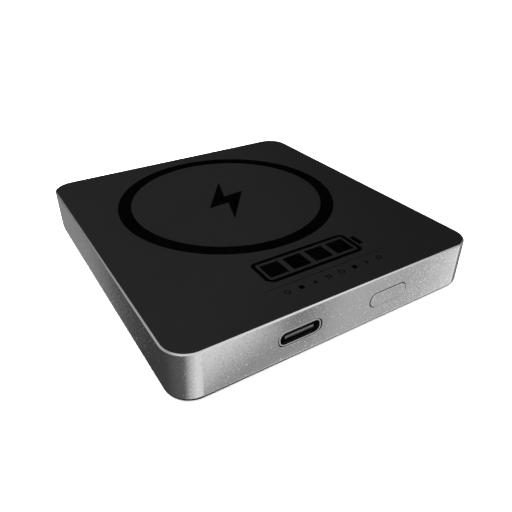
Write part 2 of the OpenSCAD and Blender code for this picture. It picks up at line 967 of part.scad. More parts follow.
// The outer end turns out through the gap in the magnets
module coil_lead_outer() {
    x = coil_lead_x;
    y = ring_y - coil_r_end;
    color("peru")
        wire(lead_path([
                [0, y, coil_z], [0.3, y, coil_z], [1, y - 0.1, coil_z], [x - 0.1, y - 0.9, coil_z - 0.15],
                [x, y - 3, coil_lead_z + 0.1], [x, ring_y - carrier_r, coil_lead_z],
                [x, lead_end_y + 0.9, coil_lead_z - 0.6], [x, lead_end_y, board_top + 2.4],
                [x, lead_end_y, board_top + 0.3], [x, lead_end_y, board_top]
            ]), coil_lead_d, [1, 1, 0]);
}

// Adhesive film that holds the module to the underside of the cover
module module_film() {
    color("white")
        at_ring()
            translate([0, 0, module_top])
                cylinder(h = film_t, r = carrier_r - 0.4);
}

housing();
socket_wall();
top_cover();
cover_gasket();
ring_inlay();
bolt_inlay();
battery_symbol_inlay();
divider_line_inlay();
symbol_row_inlay();
power_button();
button_pad();
switch_body();
switch_frame();
switch_plunger();
switch_dome();
usb_shell();
usb_insulator();
usb_contacts();
main_board();
board_insulator();
board_standoffs();
cell_bumpers();
board_screws();
charge_controller();
wireless_controller();
power_transistors();
power_inductor();
resonant_capacitors();
ceramic_capacitors();
chip_resistors();
battery_cell();
battery_tabs();
protection_board();
protection_chips();
protection_tape();
battery_adhesive();
battery_lead_positive();
battery_lead_negative();
foam_pads();
graphite_sheet();
module_carrier();
steel_ring();
ring_magnets();
ferrite_shield();
charging_coil();
coil_lead_inner();
coil_lead_outer();
module_film();
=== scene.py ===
"""Looks of a slim magnetic power bank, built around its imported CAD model. Units are metres."""

import json
import math

import bmesh
import bpy
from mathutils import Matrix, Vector


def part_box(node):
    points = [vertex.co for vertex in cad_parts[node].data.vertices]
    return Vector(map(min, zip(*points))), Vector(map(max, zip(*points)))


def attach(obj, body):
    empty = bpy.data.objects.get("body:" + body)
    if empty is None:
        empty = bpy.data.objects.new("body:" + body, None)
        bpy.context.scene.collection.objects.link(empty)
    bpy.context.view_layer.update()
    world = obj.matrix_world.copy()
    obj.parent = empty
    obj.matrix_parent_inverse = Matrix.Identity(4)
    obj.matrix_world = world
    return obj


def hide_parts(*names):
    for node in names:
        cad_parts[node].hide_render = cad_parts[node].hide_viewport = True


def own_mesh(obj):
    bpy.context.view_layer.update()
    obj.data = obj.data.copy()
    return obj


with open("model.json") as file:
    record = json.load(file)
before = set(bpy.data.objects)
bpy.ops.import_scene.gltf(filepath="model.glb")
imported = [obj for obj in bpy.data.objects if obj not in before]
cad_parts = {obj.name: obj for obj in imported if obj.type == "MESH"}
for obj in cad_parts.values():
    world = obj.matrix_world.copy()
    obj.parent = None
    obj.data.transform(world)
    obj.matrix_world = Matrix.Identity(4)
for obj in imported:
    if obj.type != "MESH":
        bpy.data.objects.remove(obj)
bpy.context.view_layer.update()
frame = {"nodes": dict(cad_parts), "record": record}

MM = 0.001

# Body, from the frame: its outline, and the levels that its parts stand on
CASE_LOW, CASE_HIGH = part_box("housing")
BODY_W = CASE_HIGH.x - CASE_LOW.x
BODY_L = CASE_HIGH.y - CASE_LOW.y
BODY_H = CASE_HIGH.z
FACE_Y = CASE_LOW.y
CORNER_R = 5.0 * MM
BASE_R = 1.4 * MM
RIM_BEVEL_H = 0.15 * MM
COVER_GAP = 0.05 * MM
WALL = 1.4 * MM
FLOOR_T = 1.0 * MM
INNER_Y = FACE_Y + WALL
LEDGE_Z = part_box("cover_gasket")[0].z
COVER_LOW, COVER_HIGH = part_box("top_cover")
RIM_W = COVER_LOW.x - CASE_LOW.x - COVER_GAP
INLAY_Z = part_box("ring_inlay")[0].z
BOARD_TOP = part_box("main_board")[1].z

# Socket and button
SHELL_LOW, SHELL_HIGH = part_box("usb_shell")
SOCKET_X = (SHELL_LOW.x + SHELL_HIGH.x) / 2
BUTTON_LOW, BUTTON_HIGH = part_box("power_button")
BUTTON_X = (BUTTON_LOW.x + BUTTON_HIGH.x) / 2
SOCKET_Z = (BUTTON_LOW.z + BUTTON_HIGH.z) / 2
OPENING_BREAK = 0.04 * MM
PORT_OPENING = (9.36 * MM, 3.34 * MM, 1.5 * MM)
BUTTON_OPENING = (9.4 * MM, 3.4 * MM, 1.65 * MM)
BUTTON_GAP = 0.17 * MM
BUTTON_CAP = (BUTTON_OPENING[0] - 2 * BUTTON_GAP, BUTTON_OPENING[1] - 2 * BUTTON_GAP,
              BUTTON_OPENING[2] - BUTTON_GAP)
SHELL_OUTER = (8.94 * MM, 3.16 * MM, 1.4 * MM)
SHELL_INNER = (8.34 * MM, 2.56 * MM, 1.1 * MM)

CORNER_STEPS = 20  # segments in a quarter turn of the body's corners
SMALL_STEPS = 10  # segments in a quarter turn of the socket and the button
FOOT_STEPS = 12  # segments in the round edge under the body
FILLET_STEPS = 4  # segments in a small round edge
ROUND_STEPS = 32  # segments in a full turn of a small circle
BREAK_SEGMENTS = 2  # segments in a broken edge
SHARP_ANGLE = math.radians(28)  # edges that turn more than this are shaded sharp
TOUCHING = 1e-7  # points closer than this are one


# ---- Mesh helpers ----


def rounded_rect(w, h, r, steps):
    """Outline of a rectangle with round corners, anticlockwise, as (u, v) about its centre."""
    points = []
    for quarter, (su, sv) in enumerate(((1, 1), (-1, 1), (-1, -1), (1, -1))):
        for i in range(steps + 1):
            a = math.radians(90 * (quarter + i / steps))
            points.append((su * (w / 2 - r) + r * math.cos(a), sv * (h / 2 - r) + r * math.sin(a)))
    return points


def circle_points(r, steps, x, y):
    """Outline of a circle about (x, y)."""
    angles = [2 * math.pi * i / steps for i in range(steps)]
    return [(x + r * math.cos(a), y + r * math.sin(a)) for a in angles]


def rect_points(w, h, x, y):
    """Outline of a rectangle about (x, y)."""
    corners = ((-1, -1), (1, -1), (1, 1), (-1, 1))
    return [(x + u * w / 2, y + v * h / 2) for u, v in corners]


def turned(points):
    """The points and their copies turned half round the origin."""
    return points + [(-x, -y) for x, y in points]


def moved(points, x, y):
    """The points, moved by (x, y)."""
    return [(x + px, y + py) for px, py in points]


def flat_loop(points, z):
    """An outline laid flat at height z."""
    return [(x, y, z) for x, y in points]


def plan_loop(w, l, r, z):
    """A rounded outline that lies flat at height z, about the body's middle."""
    return flat_loop(rounded_rect(w, l, r, CORNER_STEPS), z)


def wall_loop(x, y, w, h, r, steps=SMALL_STEPS):
    """A rounded outline that stands in the plane at y, about x and the socket's height."""
    return [(x + u, y, SOCKET_Z + v) for u, v in rounded_rect(w, h, r, steps)]


def arc(n, start=0.0, end=90.0):
    """(cosine, sine) at n + 1 even steps from start to end degrees."""
    angles = [math.radians(start + (end - start) * i / n) for i in range(n + 1)]
    return [(math.cos(a), math.sin(a)) for a in angles]


def loft(bm, loops, close=False):
    """Skins a row of loops with quads, and caps its ends or joins the last loop to the first.
    Returns the faces of each band between two loops."""
    rings = [[bm.verts.new(p) for p in loop] for loop in loops]
    n = len(rings[0])
    pairs = list(zip(rings, rings[1:]))
    if close:
        pairs.append((rings[-1], rings[0]))
    bands = [[bm.faces.new((a[i], a[(i + 1) % n], b[(i + 1) % n], b[i])) for i in range(n)]
             for a, b in pairs]
    if not close:
        bm.faces.new(rings[0])
        bm.faces.new(rings[-1])
    return bands


def paint(bands, index):
    """Gives the faces of these bands one of their object's materials."""
    for band in bands:
        for face in band:
            face.material_index = index


def break_edges(bm, edges, width):
    """Rounds these edges off by a small width."""
    bmesh.ops.bevel(bm, geom=edges, offset=width, segments=BREAK_SEGMENTS, profile=0.5,
                    affect="EDGES")


def add_box(bm, low, high, width):
    """A box between two corners, with its edges broken by that width."""
    corners = bmesh.ops.create_cube(bm, size=1)["verts"]
    for v in corners:
        v.co = Vector([low[i] if v.co[i] < 0 else high[i] for i in range(3)])
    break_edges(bm, list({e for v in corners for e in v.link_edges}), width)


def add_cylinder(bm, x, y, low, high, r):
    """An upright cylinder."""
    circle = circle_points(r, ROUND_STEPS, x, y)
    loft(bm, [flat_loop(circle, low), flat_loop(circle, high)])


def to_object(name, bm, materials):
    """A new object from a bmesh, with its normals pointing out."""
    bmesh.ops.recalc_face_normals(bm, faces=bm.faces)
    mesh = bpy.data.meshes.new(name)
    bm.to_mesh(mesh)
    bm.free()
    for m in materials:
        mesh.materials.append(m)
    obj = bpy.data.objects.new(name, mesh)
    bpy.context.scene.collection.objects.link(obj)
    return obj


def combine(obj, other, operation):
    """Cuts other out of obj, or joins it on, and removes other."""
    mod = obj.modifiers.new(operation.lower(), "BOOLEAN")
    mod.operation = operation
    mod.solver = "EXACT"
    mod.object = other
    evaluated = obj.evaluated_get(bpy.context.evaluated_depsgraph_get())
    mesh = bpy.data.meshes.new_from_object(evaluated)
    old = obj.data
    obj.modifiers.clear()
    obj.data = mesh
    mesh.name = old.name
    bpy.data.meshes.remove(old)
    bpy.data.objects.remove(other)


def finish_piece(obj, body, nodes):
    """Shades a piece smooth with sharp edges where it turns a corner, puts it on its body, and
    hides the CAD nodes that it stands for."""
    bm = bmesh.new()
    bm.from_mesh(obj.data)
    bmesh.ops.remove_doubles(bm, verts=bm.verts, dist=TOUCHING)
    bmesh.ops.dissolve_degenerate(bm, edges=bm.edges, dist=TOUCHING)
    for edge in bm.edges:
        edge.smooth = len(edge.link_faces) == 2 and edge.calc_face_angle(0) < SHARP_ANGLE
    for face in bm.faces:
        face.smooth = True
    bm.to_mesh(obj.data)
    bm.free()
    weighted = obj.modifiers.new("even_shading", "WEIGHTED_NORMAL")
    weighted.keep_sharp = True
    weighted.weight = 100
    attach(obj, body)
    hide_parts(*nodes)
    return obj


# ---- Materials ----


class Nodes:
    """A material's node tree, with short calls for the nodes that the finishes share."""

    def __init__(self, name):
        self.material = bpy.data.materials.new(name)
        self.material.use_nodes = True
        self.tree = self.material.node_tree
        self.shader = self.tree.nodes["Principled BSDF"]
        self.place = self.add("ShaderNodeTexCoord").outputs["Object"]

    def add(self, kind, **values):
        node = self.tree.nodes.new(kind)
        for key, value in values.items():
            setattr(node, key, value)
        return node

    def link(self, a, b):
        self.tree.links.new(a, b)

    def set(self, **values):
        """Sets the shader's own sockets. Underscores stand for the spaces in their names."""
        for key, value in values.items():
            self.shader.inputs[key.replace("_", " ")].default_value = value

    def noise(self, per_mm, detail=3.0, roughness=0.5, stretch=None):
        """Noise with that many features per millimetre, as a 0 to 1 output."""
        node = self.add("ShaderNodeTexNoise")
        node.inputs["Scale"].default_value = per_mm / MM
        node.inputs["Detail"].default_value = detail
        node.inputs["Roughness"].default_value = roughness
        source = self.place
        if stretch:
            mapping = self.add("ShaderNodeMapping")
            mapping.inputs["Scale"].default_value = stretch
            self.link(source, mapping.inputs["Vector"])
            source = mapping.outputs["Vector"]
        self.link(source, node.inputs["Vector"])
        return node.outputs["Fac"]

    def cells(self, per_mm):
        """A random 0 to 1 value, and a random colour, in each cell of a fine crystal pattern."""
        node = self.add("ShaderNodeTexVoronoi")
        node.inputs["Scale"].default_value = per_mm / MM
        self.link(self.place, node.inputs["Vector"])
        split = self.add("ShaderNodeSeparateColor")
        self.link(node.outputs["Color"], split.inputs["Color"])
        return split.outputs["Red"], node.outputs["Color"]

    def tilt(self, colour, amount, normal=None, mask=None):
        """Turns the surface a little way towards a direction that the colour gives."""
        if normal is None:
            normal = self.add("ShaderNodeNewGeometry").outputs["Normal"]
        centre = self.add("ShaderNodeVectorMath", operation="SUBTRACT")
        self.link(colour, centre.inputs[0])
        centre.inputs[1].default_value = (0.5, 0.5, 0.5)
        scale = self.add("ShaderNodeVectorMath", operation="SCALE")
        self.link(centre.outputs[0], scale.inputs[0])
        scale.inputs["Scale"].default_value = amount
        if mask is not None:
            self.link(self.spread(mask, 0, amount), scale.inputs["Scale"])
        total = self.add("ShaderNodeVectorMath", operation="ADD")
        self.link(normal, total.inputs[0])
        self.link(scale.outputs[0], total.inputs[1])
        unit = self.add("ShaderNodeVectorMath", operation="NORMALIZE")
        self.link(total.outputs[0], unit.inputs[0])
        return unit.outputs[0]

    def spread(self, fac, low, high, from_low=0.0, from_high=1.0):
        """Maps a value from one range to another, kept inside it."""
        node = self.add("ShaderNodeMapRange")
        for key, value in (("From Min", from_low), ("From Max", from_high),
                           ("To Min", low), ("To Max", high)):
            node.inputs[key].default_value = value
        self.link(fac, node.inputs["Value"])
        return node.outputs["Result"]

    def ramp(self, fac, low, high, from_low=0.3, from_high=0.7):
        """A colour between low and high as fac goes from one value to the other."""
        node = self.add("ShaderNodeValToRGB")
        first, last = node.color_ramp.elements
        first.position, last.position = from_low, from_high
        first.color, last.color = (*low, 1), (*high, 1)
        self.link(fac, node.inputs["Fac"])
        return node.outputs["Color"]

    def mix(self, fac, a, b):
        """Colour a where fac is 0, and b where it is 1."""
        node = self.add("ShaderNodeMix", data_type="RGBA")
        self.link(fac, node.inputs[0])
        self.link(a, node.inputs[6])
        if isinstance(b, tuple):
            node.inputs[7].default_value = (*b, 1)
        else:
            self.link(b, node.inputs[7])
        return node.outputs[2]

    def bump(self, height, strength, depth_mm):
        """The normals of a surface with that height map, for a depth in millimetres."""
        node = self.add("ShaderNodeBump")
        node.inputs["Strength"].default_value = strength
        node.inputs["Distance"].default_value = depth_mm * MM
        self.link(height, node.inputs["Height"])
        return node.outputs["Normal"]

    def wire(self, colour, roughness=None, normal=None):
        """Feeds the shader's main inputs. Returns the material."""
        for key, value in (("Base Color", colour), ("Roughness", roughness), ("Normal", normal)):
            if value is not None:
                self.link(value, self.shader.inputs[key])
        return self.material


def grey(v):
    """A neutral colour."""
    return (v, v, v)


def blasted_aluminium():
    """Bead-blasted, clear anodised aluminium: a fine grain of tilted crystals, some of which glint,
    and those are also coloured brighter as a painted highlight."""
    n = Nodes("blasted_aluminium")
    n.set(Metallic=1.0)
    fine, fine_colour = n.cells(10.0)
    crystal, crystal_colour = n.cells(7.0)
    glint = n.spread(crystal, 0, 1, 0.88, 1.0)
    cloud = n.noise(0.16, detail=4)
    colour = n.ramp(cloud, grey(0.73), grey(0.76))
    colour = n.mix(n.spread(fine, 0, 0.2), colour, grey(0.5))
    # Painted highlight: the glinting crystals are also coloured brighter than the rest
    colour = n.mix(glint, colour, grey(0.88))
    normal = n.tilt(fine_colour, 0.014)
    normal = n.tilt(crystal_colour, 0.17, normal, glint)
    return n.wire(colour, n.spread(cloud, 0.09, 0.115, 0.3, 0.7), normal)


def polished_edge():
    """The diamond-cut chamfer: bright, with faint lines from the cutter."""
    n = Nodes("polished_edge")
    n.set(Metallic=1.0)
    lines = n.noise(9.0, detail=2, stretch=(0.08, 0.08, 1.6))
    colour = n.ramp(n.noise(0.3), grey(0.82), grey(0.9))
    return n.wire(colour, n.spread(lines, 0.13, 0.24, 0.3, 0.7), n.bump(lines, 0.08, 0.004))


def matt_cover():
    """Black cover with a fine, even moulded texture."""
    n = Nodes("matt_cover")
    n.set(Specular_IOR_Level=0.35)
    grain = n.noise(4.5, detail=3, roughness=0.65)
    cloud = n.noise(0.05, detail=3)
    colour = n.ramp(cloud, grey(0.0019), grey(0.0021))
    colour = n.mix(n.spread(grain, 0, 0.3, 0.45, 0.75), colour, grey(0.0036))
    return n.wire(colour, n.spread(grain, 0.50, 0.62, 0.3, 0.7), n.bump(grain, 0.12, 0.012))


def gloss_ink():
    """Black gloss of the inlays, with a trace of orange peel."""
    n = Nodes("gloss_ink")
    n.set(Specular_IOR_Level=0.4)
    peel = n.noise(0.8, detail=2)
    colour = n.ramp(n.noise(0.2), grey(0.0001), grey(0.0003))
    return n.wire(colour, n.spread(peel, 0.09, 0.16, 0.3, 0.7), n.bump(peel, 0.03, 0.01))


def drawn_steel(name, tone, rough_low=0.22, rough_high=0.34, along=(1, 0.05, 1)):
    """Stamped or drawn sheet metal with fine lines along the way that it was drawn."""
    n = Nodes(name)
    n.set(Metallic=1.0)
    lines = n.noise(12.0, detail=3, stretch=along)
    low = tuple(c * 0.9 for c in tone)
    colour = n.mix(n.spread(n.noise(0.5), 0, 0.5), n.ramp(lines, low, tone), low)
    roughness = n.spread(lines, rough_low, rough_high, 0.3, 0.7)
    return n.wire(colour, roughness, n.bump(lines, 0.1, 0.006))


def moulded(name, tone, rough=0.5, grain_per_mm=6.0, bump=0.12, spec=0.5, variation=0.25):
    """Moulded plastic, rubber or pressed powder with a fine surface texture."""
    n = Nodes(name)
    n.set(Specular_IOR_Level=spec)
    grain = n.noise(grain_per_mm, detail=3, roughness=0.6)
    low = tuple(c * (1 - variation) for c in tone)
    colour = n.ramp(n.noise(grain_per_mm / 12), low, tone)
    roughness = n.spread(grain, rough - 0.07, rough + 0.07, 0.3, 0.7)
    return n.wire(colour, roughness, n.bump(grain, bump, 0.01))


def circuit_board():
    """Solder mask over copper: faint lighter tracks on a grid under a green film."""
    n = Nodes("circuit_board")
    n.set(Specular_IOR_Level=0.6, Coat_Weight=0.3, Coat_Roughness=0.15)
    node = n.add("ShaderNodeTexBrick")
    node.inputs["Scale"].default_value = 0.5 / MM
    node.inputs["Mortar Size"].default_value = 0.08
    n.link(n.place, node.inputs["Vector"])
    tracks = n.spread(node.outputs["Fac"], 0, 1)
    colour = n.ramp(n.noise(0.4), (0.006, 0.05, 0.022), (0.01, 0.075, 0.035))
    colour = n.mix(tracks, colour, (0.02, 0.12, 0.05))
    return n.wire(colour, n.spread(n.noise(3.0), 0.3, 0.42), n.bump(tracks, 0.2, 0.02))


def foil_pouch():
    """Laminated foil of the pouch cell, slightly wrinkled."""
    n = Nodes("foil_pouch")
    n.set(Metallic=0.85)
    wrinkle = n.noise(0.25, detail=5, roughness=0.55)
    colour = n.ramp(wrinkle, grey(0.5), grey(0.64))
    return n.wire(colour, n.spread(n.noise(6.0), 0.32, 0.45), n.bump(wrinkle, 0.4, 0.08))


def enamelled_copper():
    """Litz strands under enamel: fine lines across the wire's run."""
    n = Nodes("enamelled_copper")
    n.set(Metallic=0.9, Coat_Weight=0.5, Coat_Roughness=0.2)
    strands = n.noise(9.0, detail=2)
    colour = n.ramp(strands, (0.33, 0.10, 0.03), (0.62, 0.23, 0.08))
    return n.wire(colour, n.spread(strands, 0.25, 0.4), n.bump(strands, 0.3, 0.03))


BLASTED = blasted_aluminium()
POLISHED = polished_edge()
COVER = matt_cover()
INK = gloss_ink()
STEEL = drawn_steel("socket_steel", (0.62, 0.62, 0.63))
# Painted shade: the inside of the socket shell is coloured dark steel, far darker than its outside
SHADED_INNER_STEEL = drawn_steel("socket_inside_painted_shade", grey(0.15), 0.35, 0.5)
# Painted shade: the button cap's sides are coloured near black, where the gap round the cap is in
# shade
CAP_SIDE_SHADE = drawn_steel("cap_side_painted_shade", grey(0.008), 0.4, 0.55)
TONGUE = moulded("tongue_plastic", grey(0.008), rough=0.35)
# Painted highlight: the tongue's tip is coloured about ten times lighter than its body
TONGUE_EDGE_HIGHLIGHT = moulded("tongue_edge_painted_highlight", grey(0.085), rough=0.35)
GOLD = drawn_steel("gold_plating", (0.86, 0.62, 0.27), 0.2, 0.3)

SLOT_MATERIALS = {
    "anodised_aluminium": BLASTED,
    "cover_black": COVER,
    "gloss_black": INK,
    "adhesive": moulded("adhesive_foam", grey(0.10), rough=0.7, bump=0.3),
    "silicone": moulded("silicone", grey(0.05), rough=0.6),
    "black_moulding": moulded("black_moulding", grey(0.025), rough=0.45),
    "white_moulding": moulded("white_moulding", (0.72, 0.71, 0.68), rough=0.4, variation=0.08),
    "stainless": STEEL,
    "spring_steel": drawn_steel("spring_steel", (0.55, 0.52, 0.45), 0.15, 0.25),
    "gold_contact": GOLD,
    "circuit_board": circuit_board(),
    "polyimide": moulded("polyimide_film", (0.55, 0.22, 0.03), rough=0.25, grain_per_mm=2.0,
                         variation=0.15),
    "chip_black": moulded("chip_moulding", grey(0.022), rough=0.55, grain_per_mm=14.0, bump=0.2),
    "inductor_grey": moulded("pressed_powder", grey(0.09), rough=0.6, grain_per_mm=9.0, bump=0.35),
    "capacitor_tan": moulded("fired_ceramic", (0.42, 0.31, 0.19), rough=0.35, variation=0.12),
    "foil_pouch": foil_pouch(),
    "nickel": drawn_steel("nickel_tab", (0.66, 0.63, 0.58)),
    "magnet_nickel": drawn_steel("magnet_plating", (0.6, 0.59, 0.57), 0.12, 0.22),
    "ferrite": moulded("sintered_ferrite", (0.045, 0.045, 0.05), rough=0.4, grain_per_mm=9.0,
                       bump=0.25),
    "copper_enamel": enamelled_copper(),
    "lead_red": moulded("red_insulation", (0.42, 0.012, 0.01), rough=0.4, variation=0.15),
    "lead_black": moulded("black_insulation", grey(0.02), rough=0.4),
    "graphite": moulded("graphite_film", grey(0.06), rough=0.35, grain_per_mm=3.0),
    "brass_turned": drawn_steel("turned_brass", (0.72, 0.53, 0.24), along=(0.05, 0.05, 1)),
    "foam": moulded("open_foam", grey(0.07), rough=0.85, grain_per_mm=3.0, bump=0.6),
}


# Moulded, cut and sawn parts whose edges are broken, and by how much
EDGE_BREAKS = {
    "charge_controller": 0.05 * MM,
    "wireless_controller": 0.05 * MM,
    "power_transistors": 0.06 * MM,
    "protection_chips": 0.04 * MM,
    "ceramic_capacitors": 0.05 * MM,
    "resonant_capacitors": 0.1 * MM,
    "chip_resistors": 0.03 * MM,
    "protection_board": 0.04 * MM,
    "battery_tabs": 0.015 * MM,
    "battery_adhesive": 0.03 * MM,
    "cell_bumpers": 0.08 * MM,
    "foam_pads": 0.05 * MM,
}


def dress_cad_nodes():
    """Gives each node of the frame the finish of its material slot, and breaks the edges of the
    square parts."""
    for row in frame["record"]["subparts"]:
        obj = frame["nodes"][row["node"]]
        obj.data.materials.clear()
        obj.data.materials.append(SLOT_MATERIALS[row["material_slot"]])
        if row["node"] in EDGE_BREAKS:
            joined = obj.modifiers.new("joined", "WELD")
            joined.merge_threshold = 0.001 * MM
            bevel = obj.modifiers.new("edge_break", "BEVEL")
            bevel.width = EDGE_BREAKS[row["node"]]
            bevel.segments = BREAK_SEGMENTS
            bevel.limit_method = "ANGLE"


# ---- Case ----


def body_loop(inset, z):
    """The body's outline, moved in by inset."""
    return plan_loop(BODY_W - 2 * inset, BODY_L - 2 * inset, CORNER_R - inset, z)


def case_profile():
    """(inset, height) from the underside, up the outside, over the rim and down to the floor."""
    foot = [(BASE_R * (1 - s), BASE_R * (1 - c)) for c, s in arc(FOOT_STEPS)]
    soft = 0.04 * MM
    rim = [(0, BODY_H - RIM_BEVEL_H - soft), (soft / 2, BODY_H - RIM_BEVEL_H + soft / 3),
           (RIM_W - soft / 2, BODY_H - soft / 6), (RIM_W, BODY_H - soft)]
    ledge = [(RIM_W, LEDGE_Z), (WALL, LEDGE_Z)]
    inner_r = 0.3 * MM
    inside = [(WALL + inner_r * (1 - c), FLOOR_T + inner_r * (1 - s)) for c, s in arc(FILLET_STEPS)]
    return foot, rim, ledge, inside


def opening_cutter(x, size):
    """A plug that cuts one opening through the socket wall and breaks its outer edge."""
    w, h, r = size
    b = OPENING_BREAK
    rounding = ((-2, 3), (0.15, 0.8), (0.8, 0.12), (1.5, 0))  # depth and reach, in breaks
    sections = [(FACE_Y + depth * b, reach * b) for depth, reach in rounding]
    sections.append((INNER_Y + WALL, 0))
    bm = bmesh.new()
    loft(bm, [wall_loop(x, y, w + 2 * o, h + 2 * o, r + o) for y, o in sections])
    return to_object("opening_cutter", bm, [BLASTED])


def build_case():
    """The tub in one piece, with its polished rim, its two openings and the standoffs' pockets."""
    foot, rim, ledge, inside = case_profile()
    bm = bmesh.new()
    bands = loft(bm, [body_loop(i, z) for i, z in foot + rim + ledge + inside])
    paint(bands[len(foot):len(foot) + len(rim)], 1)
    case = to_object("case_shell", bm, [BLASTED, POLISHED])
    for x, size in ((SOCKET_X, PORT_OPENING), (BUTTON_X, BUTTON_OPENING)):
        combine(case, opening_cutter(x, size), "DIFFERENCE")
    combine(case, standoff_pockets(), "DIFFERENCE")
    return finish_piece(case, "case", ["housing", "socket_wall"])


def standoff_pockets():
    """Plugs that cut the four pockets in the floor for the standoffs' feet."""
    low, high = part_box("board_standoffs")
    standoff_r, foot_r = 1.9 * MM, 1.4 * MM
    rear_x = high.x - standoff_r
    rows = ((high.y - standoff_r, (-rear_x, rear_x)),
            (low.y + standoff_r, (-19.3 * MM, 19.8 * MM)))
    top = FLOOR_T + foot_r  # clear of the floor
    bm = bmesh.new()
    for y, xs in rows:
        for x in xs:
            add_cylinder(bm, x, y, low.z, top, foot_r)
    return to_object("standoff_pockets", bm, [BLASTED])


# ---- Cover and its inlays ----


def bolt_shape():
    """The lightning bolt's outline: a tip, a side point and a notch, and the same turned half
    round."""
    low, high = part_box("bolt_inlay")
    centre = (low + high) / 2
    half = [(3.1 * MM, 9.6 * MM), (-5.6 * MM, -2.2 * MM), (-0.4 * MM, -1.7 * MM)]
    return [(moved(turned(half), centre.x, centre.y), None)]


def ring_shape():
    """The ring mark round the coil's centre."""
    low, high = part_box("ring_inlay")
    centre = (low + high) / 2
    outer = (high.x - low.x) / 2
    width = 3.0 * MM
    steps = 192
    return [tuple(circle_points(r, steps, centre.x, centre.y) for r in (outer, outer - width))]


def battery_shape():
    """A battery's outline with a nub and level bars."""
    low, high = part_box("battery_symbol_inlay")
    stroke, nub, gap = 0.85 * MM, 1.1 * MM, 0.5 * MM
    outer_r, inner_r, corner_steps = 1.3 * MM, 0.6 * MM, 8
    nub_share = 0.42  # of the battery's height
    bars, between_bars, over_bars = 4, 1.15 * MM, 1.5 * MM
    case_w = high.x - low.x - nub - gap
    h = high.y - low.y
    inner_w, inner_h = case_w - 2 * stroke, h - 2 * stroke
    x = low.x + case_w / 2
    y = (low.y + high.y) / 2
    shapes = [(moved(rounded_rect(case_w, h, outer_r, corner_steps), x, y),
               moved(rounded_rect(inner_w, inner_h, inner_r, corner_steps), x, y)),
              (rect_points(nub, h * nub_share, high.x - nub / 2, y), None)]
    pitch = inner_w / bars
    for i in range(bars):
        bar_x = low.x + stroke + (i + 0.5) * pitch
        shapes.append((rect_points(pitch - between_bars, inner_h - over_bars, bar_x, y), None))
    return shapes


def line_shape():
    """The thin line between the battery and the row."""
    low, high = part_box("divider_line_inlay")
    centre = (low + high) / 2
    return [(rect_points(high.x - low.x, high.y - low.y, centre.x, centre.y), None)]


def row_shape():
    """Eight plain shapes in a row: rings, squares, triangles and pairs of bars."""
    low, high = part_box("symbol_row_inlay")
    s = high.y - low.y
    y = (low.y + high.y) / 2
    count, pitch = 8, 3.1 * MM
    line_w = 0.22 * MM
    rings = (s / 2, s / 2 - line_w)
    square, bar, bar_offset = 0.8 * s, 0.24 * s, 0.27 * s
    shapes = []
    for i in range(count):
        x = low.x + s / 2 + i * pitch
        kind = i % 4
        if kind == 0:
            shapes.append(tuple(circle_points(r, ROUND_STEPS, x, y) for r in rings))
        elif kind == 1:
            shapes.append((rect_points(square, square, x, y), None))
        elif kind == 2:
            shapes.append(([(x - s / 2, y - s / 2), (x + s / 2, y - s / 2), (x, y + s / 2)], None))
        else:
            shapes += [(rect_points(bar, s, x + side * bar_offset, y), None) for side in (-1, 1)]
    return shapes


def flat_solid(bm, outline, hole, low, high):
    """Extrudes an outline, with or without a hole of as many points, from low to high."""
    loops = [flat_loop(outline, low), flat_loop(outline, high)]
    if hole:
        loops += [flat_loop(hole, high), flat_loop(hole, low)]
    loft(bm, loops, close=bool(hole))


def soften_top(bm, z, width):
    """Breaks the edges round every face that looks up at height z."""
    steep = 1.0  # radians between two faces
    edges = [e for e in bm.edges if all(abs(v.co.z - z) < TOUCHING for v in e.verts)
             and len(e.link_faces) == 2 and e.calc_face_angle(0) > steep]
    break_edges(bm, edges, width)


def build_inlay(name, node, shapes):
    """One inlay: its shapes, flush with the cover, with a soft top edge."""
    top = COVER_HIGH.z
    edge = 0.012 * MM
    bm = bmesh.new()
    for outline, hole in shapes:
        flat_solid(bm, outline, hole, INLAY_Z, top)
    bmesh.ops.recalc_face_normals(bm, faces=bm.faces)
    soften_top(bm, top, edge)
    return finish_piece(to_object(name, bm, [INK]), "case", [node])


def build_cover(all_shapes):
    """The cover plate, with a shallow pocket for each inlay."""
    w = COVER_HIGH.x - COVER_LOW.x
    l = COVER_HIGH.y - COVER_LOW.y
    r = CORNER_R - RIM_W - COVER_GAP
    low_edge, top_edge = 0.05 * MM, 0.12 * MM
    over = 0.1 * MM  # how far the cutter stands out of the cover
    top = COVER_HIGH.z
    profile = [(low_edge, COVER_LOW.z), (0, COVER_LOW.z + low_edge)]
    profile += [(top_edge * (1 - c), top - top_edge * (1 - s)) for c, s in arc(FILLET_STEPS)]
    bm = bmesh.new()
    loft(bm, [plan_loop(w - 2 * i, l - 2 * i, r - i, z) for i, z in profile])
    cover = to_object("cover_plate", bm, [COVER])
    cutter = bmesh.new()
    for outline, hole in all_shapes:
        flat_solid(cutter, outline, hole, INLAY_Z, top + over)
    combine(cover, to_object("inlay_cutter", cutter, [COVER]), "DIFFERENCE")
    return finish_piece(cover, "case", ["top_cover"])


def build_charging_face():
    """The cover, and the five inlays in its pockets."""
    inlays = (("gloss_ring", "ring_inlay", ring_shape()),
              ("gloss_bolt", "bolt_inlay", bolt_shape()),
              ("gloss_battery", "battery_symbol_inlay", battery_shape()),
              ("gloss_line", "divider_line_inlay", line_shape()),
              ("gloss_symbols", "symbol_row_inlay", row_shape()))
    build_cover([shape for _, _, shapes in inlays for shape in shapes])
    for name, node, shapes in inlays:
        build_inlay(name, node, shapes)


# ---- Button ----


